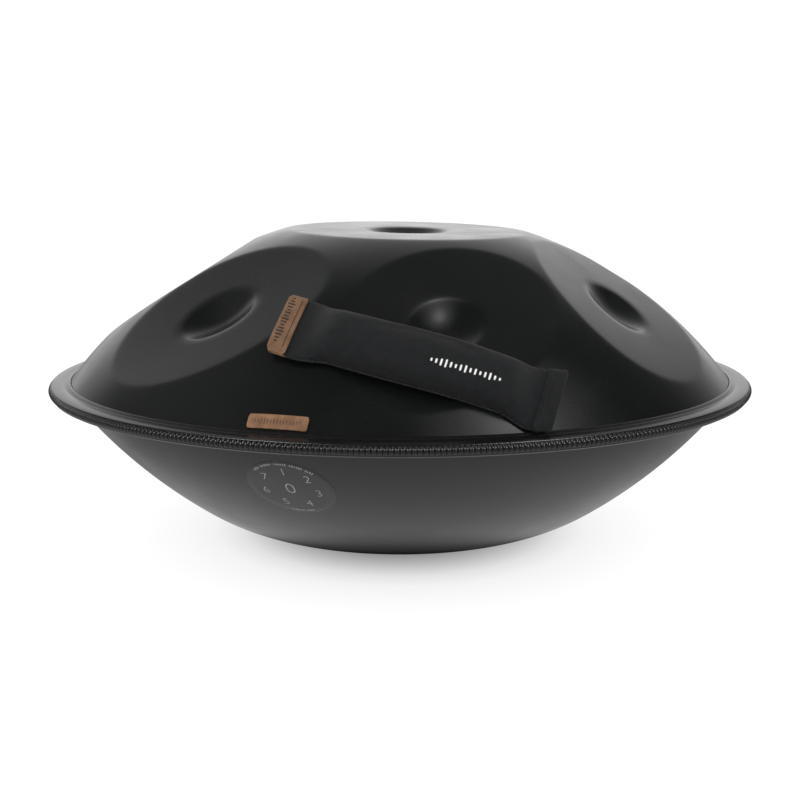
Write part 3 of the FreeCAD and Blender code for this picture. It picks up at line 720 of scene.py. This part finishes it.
def bag_hem():
    def half_of(s):
        return bag_half(s) + BAG_EDGE + 0.35 * np.sin(s * 0.9)

    loops = fold_loops(HEM_END, HEM_END - HEM_LENGTH, CLOTH, half_of, ripple=0.25)
    obj = loft("bag_hem", loops)
    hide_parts("bag_end_hem")
    return obj


def bag_tab():
    half = BAG_END_WIDTH / 2 + BAG_EDGE

    def half_of(s):
        return corner_half(s, TAB_END, TAB_END + TAB_LENGTH, half, TAB_CORNER)

    obj = loft("bag_tab", fold_loops(TAB_END, TAB_END + TAB_LENGTH, LEATHER, half_of))
    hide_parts("bag_label")
    return obj


def capsules(name, starts, ends, radius):
    """Stitches: short threads with rounded ends, in one mesh."""
    starts = np.asarray(starts)
    ends = np.asarray(ends)
    rings = np.array([(-0.9, 0.2), (-0.6, 0.8), (0.0, 1.0), (0.5, 1.0), (1.0, 1.0),
                      (1.6, 0.8), (1.9, 0.2)])
    turn = np.linspace(0, 2 * math.pi, 8, endpoint=False)
    points = []
    faces = []
    for a, b in zip(starts, ends):
        axis = b - a
        length = np.linalg.norm(axis)
        axis = axis / length
        side = np.cross(axis, (a - DOME_CENTRE) / np.linalg.norm(a - DOME_CENTRE))
        side /= np.linalg.norm(side)
        up = np.cross(side, axis)
        base = len(points)
        for along, wide in rings:
            reach = min(along, 0) * radius + max(along - 1, 0) * radius
            centre = a + axis * (np.clip(along, 0, 1) * length + reach)
            for t in turn:
                offset = side * math.cos(t) + up * math.sin(t)
                points.append(centre + offset * radius * wide)
        faces += [[base + i for i in face] for face in ring_faces(len(rings), len(turn))]
        faces.append([base + i for i in reversed(range(len(turn)))])
        top = base + (len(rings) - 1) * len(turn)
        faces.append([top + i for i in range(len(turn))])
    return mesh_object(name, points, faces)


def row_across(s, half, level):
    """Both ends of every stitch in a row across the bag."""
    count = int(2 * half / STITCH_PITCH)
    w = (np.arange(count) - (count - 1) / 2) * STITCH_PITCH
    return (bag_point(s, w - STITCH_LENGTH / 2, level),
            bag_point(s, w + STITCH_LENGTH / 2, level))


def hem_stitching():
    level = PANEL_STACK / 2 + fold_radius(CLOTH) + STITCH_R * 0.5
    starts, ends = row_across(HEM_END - HEM_LENGTH + STITCH_INSET,
                              BAG_END_WIDTH / 2 - STITCH_MARGIN, level)
    obj = capsules("bag_hem_thread", starts, ends, STITCH_R)
    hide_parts("bag_hem_stitching")
    return obj


def tab_stitching():
    level = PANEL_STACK / 2 + fold_radius(LEATHER) + STITCH_R * 0.3
    station = TAB_END + TAB_LENGTH - STITCH_INSET
    starts, ends = row_across(station, BAG_END_WIDTH / 2 - STITCH_MARGIN, level)
    obj = capsules("bag_tab_thread", starts, ends, STITCH_R)
    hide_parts("bag_label_stitching")
    return obj


def edge_stitching():
    left = BAG_FILL_LEFT + STITCH_PITCH
    right = BAG_FILL_RIGHT - STITCH_PITCH
    count = int((right - left) / STITCH_PITCH)
    s = left + (np.arange(count) + 0.5) * STITCH_PITCH
    level = CLOTH + CLOTH_GAP + STITCH_R * 0.4
    starts = []
    ends = []
    for side in (-1, 1):
        w = side * (bag_half(s) + BAG_EDGE / 2)
        starts.append(bag_point(s - STITCH_LENGTH / 2, w, level))
        ends.append(bag_point(s + STITCH_LENGTH / 2, w, level))
    obj = capsules("bag_edge_thread", np.concatenate(starts), np.concatenate(ends), STITCH_R)
    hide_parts("bag_edge_stitching")
    return obj


# ---------------------------------------------------------------- plain ornament

BAR_HEIGHTS = (0.4, 0.6, 0.85, 1.0, 0.7, 0.5, 0.75, 0.95, 0.6, 0.8, 0.5, 0.7, 0.9, 0.55, 0.35)


def rounded_bar(x, y, half_x, half_y, count=12):
    """Outline of a bar with round ends, centred on x, y."""
    turn = np.linspace(0, 2 * math.pi, count, endpoint=False)
    cosine = np.cos(turn)
    sine = np.sin(turn)
    return np.stack([x + half_x * cosine,
                     y + np.sign(sine) * (half_y - half_x) + half_x * sine], -1)


def bars(length, height, width):
    """A row of upright bars of uneven height."""
    count = len(BAR_HEIGHTS)
    pitch = (length - width) / (count - 1)
    return [rounded_bar((k - (count - 1) / 2) * pitch, 0.0, width / 2, share * height / 2)
            for k, share in enumerate(BAR_HEIGHTS)]


def prints(name, outlines, place, low, high):
    """Thin raised shapes; place(xy, height) sets points on the surface below."""
    points = []
    faces = []
    for outline in outlines:
        count = len(outline)
        base = len(points)
        middle = outline.mean(0, keepdims=True)
        for ring, height in ((outline, low), (outline, high), (middle, high), (middle, low)):
            points.extend(place(ring, height))
        top = base + 2 * count
        for j in range(count):
            following = (j + 1) % count
            faces.append([base + j, base + following, base + count + following,
                          base + count + j])
            faces.append([base + count + j, base + count + following, top])
            faces.append([base + following, base + j, top + 1])
    return mesh_object(name, points, faces, smooth=False)


def on_surface(obj, s0, w0):
    """Places points on the outside of a bag piece, around station s0 and width w0."""
    graph = bpy.context.evaluated_depsgraph_get()
    tree = BVHTree.FromObject(obj, graph)

    def place(xy, height):
        places = []
        for x, y in xy:
            far = bag_point(s0 + x, w0 + y, 40.0)
            inward = (DOME_CENTRE - far) / np.linalg.norm(DOME_CENTRE - far)
            spot = tree.ray_cast(Vector(far * MM), Vector(inward))[0]
            places.append(np.array(spot) / MM - inward * height)
        return places

    return place


# ---------------------------------------------------------------- label and sticker

def rim_label():
    axis = direction(LABEL["azimuth"], LABEL["polar"])
    first, second = tangent_axes(LABEL["azimuth"], LABEL["polar"])

    def place(x, w, height):
        n = walk(axis, first, second, x, w, DOME_R)
        return DOME_CENTRE + n * (DOME_R + height)[..., None]

    reach = LABEL["width"] / 2
    edge = (LABEL_HIGH - LABEL_LOW) / 2 * 0.6
    corner = np.linspace(0, 1, 7) ** 1.5 * LABEL["corner"] - reach
    x = np.concatenate([corner, np.linspace(corner[-1], -corner[-1], 24)[1:-1], -corner[::-1]])
    halves = corner_half(x, -reach, reach, LABEL["height"] / 2, LABEL["corner"])
    obj = loft("rim_badge", strip_loops(place, x * (reach - edge) / reach, halves,
                                        LABEL_LOW, LABEL_HIGH, across=9))
    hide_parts("rim_label")
    return obj, place


def bowl_places():
    """Function that sets local places (x, y) of the sticker on the bowl's skin."""
    side, _ = bowl_centres()
    height = bowl_height(STICKER_RADIUS_FROM_AXIS)
    a = math.radians(STICKER_AZIMUTH)
    outward = np.array([math.sin(a), -math.cos(a), 0.0])
    normal = outward * (STICKER_RADIUS_FROM_AXIS - side[0]) / BOWL_SIDE_R
    normal = normal + np.array([0, 0, (height - side[1]) / BOWL_SIDE_R])
    level = np.array([math.cos(a), math.sin(a), 0.0])
    uphill = np.cross(normal, level)
    middle = outward * STICKER_RADIUS_FROM_AXIS + np.array([0, 0, height])

    def place(xy, above):
        xy = np.asarray(xy, float)
        q = middle + xy[..., 0:1] * level + xy[..., 1:2] * uphill
        r = np.hypot(q[..., 0], q[..., 1])
        along = r - side[0]
        up = q[..., 2] - side[1]
        scale = (BOWL_SIDE_R + above) / np.hypot(along, up)
        new_r = side[0] + along * scale
        return np.stack([q[..., 0] / r * new_r, q[..., 1] / r * new_r, side[1] + up * scale], -1)

    return place


def note_sticker(place):
    turn = np.linspace(0, 2 * math.pi, 96, endpoint=False)
    circle = np.stack([np.cos(turn), np.sin(turn)], -1)
    levels = [(r, STICKER_LOW) for r in (2.0, 12.0, 22.0, STICKER_R)]
    levels += [(STICKER_R, STICKER_HIGH - 0.05), (STICKER_R - 0.1, STICKER_HIGH)]
    levels += [(r, STICKER_HIGH) for r in (26.0, 20.0, 14.0, 8.0, 2.0)]
    obj = loft("note_film", [place(circle * r, height) for r, height in levels])
    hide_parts("note_sticker")
    return obj


def numeral(body, size):
    """Flat outline mesh of one numeral, as points and faces."""
    curve = bpy.data.curves.new("numeral", "FONT")
    curve.body = body
    curve.size = size
    curve.align_x = "CENTER"
    curve.align_y = "CENTER"
    curve.extrude = 0.5
    curve.offset = -0.018 * size
    curve.resolution_u = 4
    holder = bpy.data.objects.new("numeral", curve)
    bpy.context.scene.collection.objects.link(holder)
    graph = bpy.context.evaluated_depsgraph_get()
    mesh = bpy.data.meshes.new_from_object(holder.evaluated_get(graph))
    points = np.array([v.co for v in mesh.vertices])
    faces = [list(p.vertices) for p in mesh.polygons]
    bpy.data.objects.remove(holder)
    bpy.data.curves.remove(curve)
    bpy.data.meshes.remove(mesh)
    return points, faces


def sticker_print(place):
    """Numerals 1 to 7 round a nought, and two arcs of ticks."""
    low = STICKER_HIGH + 0.01
    high = STICKER_HIGH + 0.06
    points = []
    faces = []
    marks = [("0", 0.0, 0.0, DING_SIZE)]
    for k in range(NOTE_COUNT):
        a = 2 * math.pi * k / NOTE_COUNT
        marks.append((str(k + 1), NOTE_RING_R * math.sin(a), NOTE_RING_R * math.cos(a),
                      NOTE_SIZE))
    for body, x, y, size in marks:
        shape, shape_faces = numeral(body, size)
        base = len(points)
        flat = shape[:, :2] * np.array([0.95, 1.0]) + np.array([x, y])
        above = np.where(shape[:, 2] > 0, high, low)
        points.extend(place(flat, above))
        faces += [[base + i for i in face] for face in shape_faces]
    digits = mesh_object("note_numerals", points, faces, smooth=False)
    outlines = []
    for middle, half, count in TICK_ARCS:
        for k, turn in enumerate(np.linspace(middle - half, middle + half, count)):
            if k % TICK_GAP[0] == TICK_GAP[1]:
                continue
            a = math.radians(turn)
            bar = rounded_bar(0.0, 0.0, 0.42, 0.8 + 0.2 * (k % 3), 10)
            spin = np.array([[math.cos(a), -math.sin(a)], [math.sin(a), math.cos(a)]])
            centre = TICK_RING_R * np.array([math.sin(a), math.cos(a)])
            outlines.append(bar @ spin + centre)
    ticks = prints("note_ticks", outlines, place, low, high)
    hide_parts("note_sticker_print")
    return digits, ticks


# ---------------------------------------------------------------- materials

class Nodes:
    """One material's node tree."""

    def __init__(self, name):
        self.material = bpy.data.materials.new(name)
        self.material.use_nodes = True
        self.tree = self.material.node_tree
        self.tree.nodes.clear()
        self.output = self.add("ShaderNodeOutputMaterial")
        self.surface = self.add("ShaderNodeBsdfPrincipled")
        self.join(self.surface, "BSDF", self.output, "Surface")
        self.coords = self.add("ShaderNodeTexCoord")

    def add(self, kind, **values):
        node = self.tree.nodes.new(kind)
        for key, value in values.items():
            setattr(node, key, value)
        return node

    def join(self, source, output, target, name):
        self.tree.links.new(source.outputs[output], target.inputs[name])

    def set(self, **values):
        for key, value in values.items():
            self.surface.inputs[key.replace("_", " ")].default_value = value

    def noise(self, scale, detail=3.0, stretch=(1, 1, 1)):
        mapping = self.add("ShaderNodeMapping")
        mapping.inputs["Scale"].default_value = stretch
        self.join(self.coords, "Object", mapping, "Vector")
        noise = self.add("ShaderNodeTexNoise")
        noise.inputs["Scale"].default_value = scale
        noise.inputs["Detail"].default_value = detail
        self.join(mapping, "Vector", noise, "Vector")
        return noise

    def ramp(self, source, output, stops):
        ramp = self.add("ShaderNodeValToRGB")
        elements = ramp.color_ramp.elements
        while len(elements) < len(stops):
            elements.new(0.5)
        for element, (place, colour) in zip(elements, stops):
            element.position = place
            if isinstance(colour, (int, float)):
                colour = (colour, colour, colour)
            element.color = (*colour, 1.0)
        self.join(source, output, ramp, "Fac")
        return ramp

    def bump(self, source, output, strength, distance):
        bump = self.add("ShaderNodeBump")
        bump.inputs["Strength"].default_value = strength
        bump.inputs["Distance"].default_value = distance
        self.join(source, output, bump, "Height")
        self.join(bump, "Normal", self.surface, "Normal")
        return bump


def nitrided_steel():
    """Dark heat-treated steel: satin, with faint hammer marks and fine drawn streaks."""
    m = Nodes("nitrided_steel")
    m.set(Metallic=0.0, IOR=1.5)
    tint = m.noise(9.0, 4.0)
    colour = m.ramp(tint, "Fac", ((0.3, (0.0036, 0.0042, 0.0042)), (0.7, (0.0052, 0.0058, 0.0059))))
    m.join(colour, "Color", m.surface, "Base Color")
    patches = m.noise(26.0, 5.0)
    rough = m.ramp(patches, "Fac", ((0.3, 0.22), (0.7, 0.29)))
    m.join(rough, "Color", m.surface, "Roughness")
    streaks = m.noise(60.0, 2.0, (0.4, 0.4, 6.0))
    m.bump(streaks, "Fac", 0.03, 0.0006)
    return m.material


def leather(name, dark, light):
    """Tan leather with grain and darker worn patches."""
    m = Nodes(name)
    m.set(Roughness=0.62)
    m.set(Specular_IOR_Level=0.3)
    tint = m.noise(160.0, 5.0)
    colour = m.ramp(tint, "Fac", ((0.3, dark), (0.7, light)))
    m.join(colour, "Color", m.surface, "Base Color")
    m.bump(m.noise(1400.0, 3.0), "Fac", 0.35, 0.0003)
    return m.material


def burnt_leather():
    m = Nodes("burnt_leather")
    m.set(Roughness=0.7)
    colour = m.ramp(m.noise(500.0, 3.0), "Fac", ((0.3, (0.02, 0.012, 0.008)),
                                                 (0.7, (0.035, 0.022, 0.015))))
    m.join(colour, "Color", m.surface, "Base Color")
    return m.material


def black_cloth(mapped):
    """Fine woven cloth; the weave follows the bag where the piece carries a UV map."""
    m = Nodes("black_cloth")
    m.set(Roughness=0.85, Sheen_Weight=0.07, Sheen_Roughness=0.5)
    m.set(Specular_IOR_Level=0.18)
    tint = m.noise(220.0, 5.0)
    colour = m.ramp(tint, "Fac", ((0.3, (0.0078, 0.0084, 0.0092)), (0.7, (0.0115, 0.0122, 0.0132))))
    m.join(colour, "Color", m.surface, "Base Color")
    weave = m.add("ShaderNodeTexWave", wave_type="BANDS", bands_direction="DIAGONAL")
    if mapped:
        uv = m.add("ShaderNodeUVMap", uv_map="cloth")
        m.join(uv, "UV", weave, "Vector")
        weave.inputs["Scale"].default_value = 0.55
    else:
        m.join(m.coords, "Object", weave, "Vector")
        weave.inputs["Scale"].default_value = 550.0
    weave.inputs["Distortion"].default_value = 2.5
    weave.inputs["Detail"].default_value = 2.0
    m.bump(weave, "Fac", 0.5, 0.0002)
    return m.material


def plain(name, dark, light, scale, roughness, specular=0.5):
    """Matt procedural finish between two colours."""
    m = Nodes(name)
    m.set(Roughness=roughness)
    m.set(Specular_IOR_Level=specular)
    colour = m.ramp(m.noise(scale, 3.0), "Fac", ((0.3, dark), (0.7, light)))
    m.join(colour, "Color", m.surface, "Base Color")
    return m.material


def clip_steel():
    m = Nodes("clip_steel")
    m.set(Metallic=1.0, Base_Color=(0.5, 0.5, 0.5, 1.0))
    rough = m.ramp(m.noise(300.0, 3.0), "Fac", ((0.3, 0.25), (0.7, 0.4)))
    m.join(rough, "Color", m.surface, "Roughness")
    return m.material


def trim_rubber():
    m = Nodes("trim_rubber")
    m.set(Roughness=0.27, IOR=1.5)
    tint = m.noise(140.0, 4.0)
    colour = m.ramp(tint, "Fac", ((0.3, 0.004), (0.7, 0.007)))
    m.join(colour, "Color", m.surface, "Base Color")
    m.bump(m.noise(900.0, 2.0), "Fac", 0.04, 0.0002)
    return m.material


def give(obj, material, body):
    obj.data.materials.clear()
    obj.data.materials.append(material)
    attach(obj, body)
    return obj


# ---------------------------------------------------------------- stage

# colour sockets of a mix node, which shares their names with its other kinds of socket
MIX_A = 6
MIX_B = 7
MIX_RESULT = 2


def glowing_paper_painted_shadow():
    """Glowing white paper: its glow is dark where the object stands, a painted contact shadow, and
    dimmer in reflections, a painted reflection.
    """
    m = Nodes("floor_paper_painted_shadow")
    m.set(Base_Color=(0.07, 0.07, 0.07, 1.0), Roughness=0.9, Emission_Strength=1.0)
    m.set(Specular_IOR_Level=0.0)
    stretch = m.add("ShaderNodeMapping")
    stretch.inputs["Scale"].default_value = (1.2, 1.0, 1.0)
    m.join(m.coords, "Object", stretch, "Vector")
    length = m.add("ShaderNodeVectorMath", operation="LENGTH")
    m.join(stretch, "Vector", length, 0)
    # painted contact shadow in the glow seen directly; glossy rays get a separate painted
    # reflection glow
    seen = m.ramp(length, "Value", PAPER_GLOW_PAINTED_SHADOW)
    mirrored = m.ramp(length, "Value", PAPER_PAINTED_REFLECTION)
    path = m.add("ShaderNodeLightPath")
    glow = m.add("ShaderNodeMix", data_type="RGBA")
    m.join(path, "Is Glossy Ray", glow, "Factor")
    m.tree.links.new(seen.outputs["Color"], glow.inputs[MIX_A])
    split = m.add("ShaderNodeSeparateXYZ")
    m.join(m.coords, "Object", split, "Vector")
    front = m.add("ShaderNodeMapRange", interpolation_type="SMOOTHSTEP")
    m.join(split, "Y", front, "Value")
    for name, value in zip(("From Min", "From Max", "To Min", "To Max"), PAPER_PAINTED_REFLECTION_FRONT):
        front.inputs[name].default_value = value
    dimmed = m.add("ShaderNodeVectorMath", operation="SCALE")
    m.join(mirrored, "Color", dimmed, "Vector")
    m.join(front, "Result", dimmed, "Scale")
    m.tree.links.new(dimmed.outputs["Vector"], glow.inputs[MIX_B])
    m.tree.links.new(glow.outputs[MIX_RESULT], m.surface.inputs["Emission Color"])
    return m.material


def floor():
    side = 12000.0
    points = [(-side, -side, 0), (side, -side, 0), (side, side, 0), (-side, side, 0)]
    obj = mesh_object("floor", points, [[0, 1, 2, 3]], smooth=False)
    obj.data.materials.append(glowing_paper_painted_shadow())


def span(tree, source, start, end, low, high):
    """Smooth step from low to high while source goes from start to end."""
    node = tree.nodes.new("ShaderNodeMapRange")
    node.interpolation_type = "SMOOTHSTEP"
    for name, value in (("From Min", start), ("From Max", end), ("To Min", low),
                        ("To Max", high)):
        node.inputs[name].default_value = value
    tree.links.new(source, node.inputs["Value"])
    return node.outputs["Result"]


def arithmetic(tree, operation, *operands):
    """Result of a math node on sockets and plain numbers."""
    node = tree.nodes.new("ShaderNodeMath")
    node.operation = operation
    for socket, operand in zip(node.inputs, operands):
        if isinstance(operand, float):
            socket.default_value = operand
        else:
            tree.links.new(operand, socket)
    return node.outputs["Value"]


def room_glow(tree):
    """Brightness of the room by direction: the backdrop, the room's sides and the lamps."""
    coords = tree.nodes.new("ShaderNodeTexCoord")
    split = tree.nodes.new("ShaderNodeSeparateXYZ")
    tree.links.new(coords.outputs["Generated"], split.inputs[0])
    behind = arithmetic(tree, "MAXIMUM", split.outputs["Y"], 0.0)
    behind = arithmetic(tree, "POWER", behind, BACKDROP_POWER)
    sides = span(tree, split.outputs["X"], -1.0, 1.0, *ROOM_GLOW)
    total = arithmetic(tree, "MULTIPLY_ADD", behind, BACKDROP_GLOW, sides)
    for towards, edge, glow in LAMPS:
        dot = tree.nodes.new("ShaderNodeVectorMath")
        dot.operation = "DOT_PRODUCT"
        tree.links.new(coords.outputs["Generated"], dot.inputs[0])
        dot.inputs[1].default_value = Vector(towards).normalized()
        lamp = span(tree, dot.outputs["Value"], *edge, 0.0, glow)
        total = arithmetic(tree, "ADD", total, lamp)
    return total


def world():
    """Even white room; in reflections it is bright behind the object and dim elsewhere."""
    scene = bpy.context.scene
    scene.world = bpy.data.worlds.new("studio")
    scene.world.use_nodes = True
    tree = scene.world.node_tree
    tree.nodes.clear()
    new = tree.nodes.new
    link = tree.links.new
    reflected = new("ShaderNodeBackground")
    link(room_glow(tree), reflected.inputs["Strength"])
    white = new("ShaderNodeBackground")
    for background in (reflected, white):
        background.inputs["Color"].default_value = (1, 1, 1, 1)
    white.inputs["Strength"].default_value = WHITE_ROOM
    path = new("ShaderNodeLightPath")
    choose = new("ShaderNodeMixShader")
    link(path.outputs["Is Glossy Ray"], choose.inputs["Fac"])
    link(white.outputs[0], choose.inputs[1])
    link(reflected.outputs[0], choose.inputs[2])
    output = new("ShaderNodeOutputWorld")
    link(choose.outputs[0], output.inputs["Surface"])


def camera():
    data = bpy.data.cameras.new("camera")
    data.lens = CAMERA_LENS
    data.sensor_width = CAMERA_SENSOR
    obj = bpy.data.objects.new("camera", data)
    obj.location = (0, -CAMERA_DISTANCE, CAMERA_HEIGHT)
    obj.rotation_euler = (math.radians(90 - CAMERA_TILT), 0, 0)
    bpy.context.scene.collection.objects.link(obj)
    bpy.context.scene.camera = obj


# ---------------------------------------------------------------- build

def build_pan():
    steel = nitrided_steel()
    give(upper_shell(), steel, "pan")
    give(lower_shell(), steel, "pan")
    give(edge_trim(), trim_rubber(), "pan")
    badge, badge_place = rim_label()
    hide = leather("badge_leather", (0.185, 0.093, 0.046), (0.29, 0.155, 0.083))
    give(badge, hide, "pan")
    impression = prints("rim_badge_bars", bars(*LABEL_BARS),
                        lambda xy, above: badge_place(xy[:, 0], xy[:, 1], above + 0 * xy[:, 0]),
                        LABEL_HIGH - 0.03, LABEL_HIGH + 0.04)
    give(impression, plain("pressed_leather", (0.075, 0.037, 0.019), (0.11, 0.058, 0.03),
                           300.0, 0.6), "pan")
    place = bowl_places()
    film = plain("sticker_film", 0.020, 0.027, 40.0, 0.42)
    give(note_sticker(place), film, "pan")
    ink = plain("sticker_ink", 0.20, 0.26, 200.0, 0.5)
    for piece in sticker_print(place):
        give(piece, ink, "pan")
    kept = {
        "rim_adhesive": plain("epoxy", 0.30, 0.36, 150.0, 0.4),
        "edge_trim_core": clip_steel(),
        "rim_label_tape": plain("clear_tape", 0.55, 0.62, 90.0, 0.3),
    }
    for name, material in kept.items():
        node = frame["nodes"][name]
        node.data.materials.clear()
        node.data.materials.append(material)


def build_bag():
    hide = leather("tab_leather", (0.145, 0.075, 0.038), (0.225, 0.124, 0.068))
    burnt = burnt_leather()
    brown = plain("brown_thread", (0.03, 0.018, 0.012), (0.05, 0.03, 0.02), 900.0, 0.7)
    black = plain("black_thread", 0.012, 0.02, 900.0, 0.7)
    cloth = black_cloth(False)
    body = give(bag_body(), black_cloth(True), "damper_bag")
    give(bag_bottom(), cloth, "damper_bag")
    give(bag_hem(), cloth, "damper_bag")
    tab = give(bag_tab(), hide, "damper_bag")
    give(hem_stitching(), black, "damper_bag")
    give(tab_stitching(), brown, "damper_bag")
    give(edge_stitching(), black, "damper_bag")
    white = plain("white_print", 0.75, 0.85, 300.0, 0.6)
    mark = prints("bag_bars", bars(*BAG_BARS), on_surface(body, *BAG_BARS_PLACE), -0.02, 0.1)
    give(mark, white, "damper_bag")
    upright = [outline[:, ::-1] for outline in bars(*TAB_BARS)]
    brand = prints("tab_bars", upright, on_surface(tab, *TAB_BARS_PLACE), -0.02, 0.05)
    give(brand, burnt, "damper_bag")


def main():
    bpy.context.scene.view_settings.view_transform = "Standard"
    build_pan()
    build_bag()
    floor()
    world()
    camera()


main()
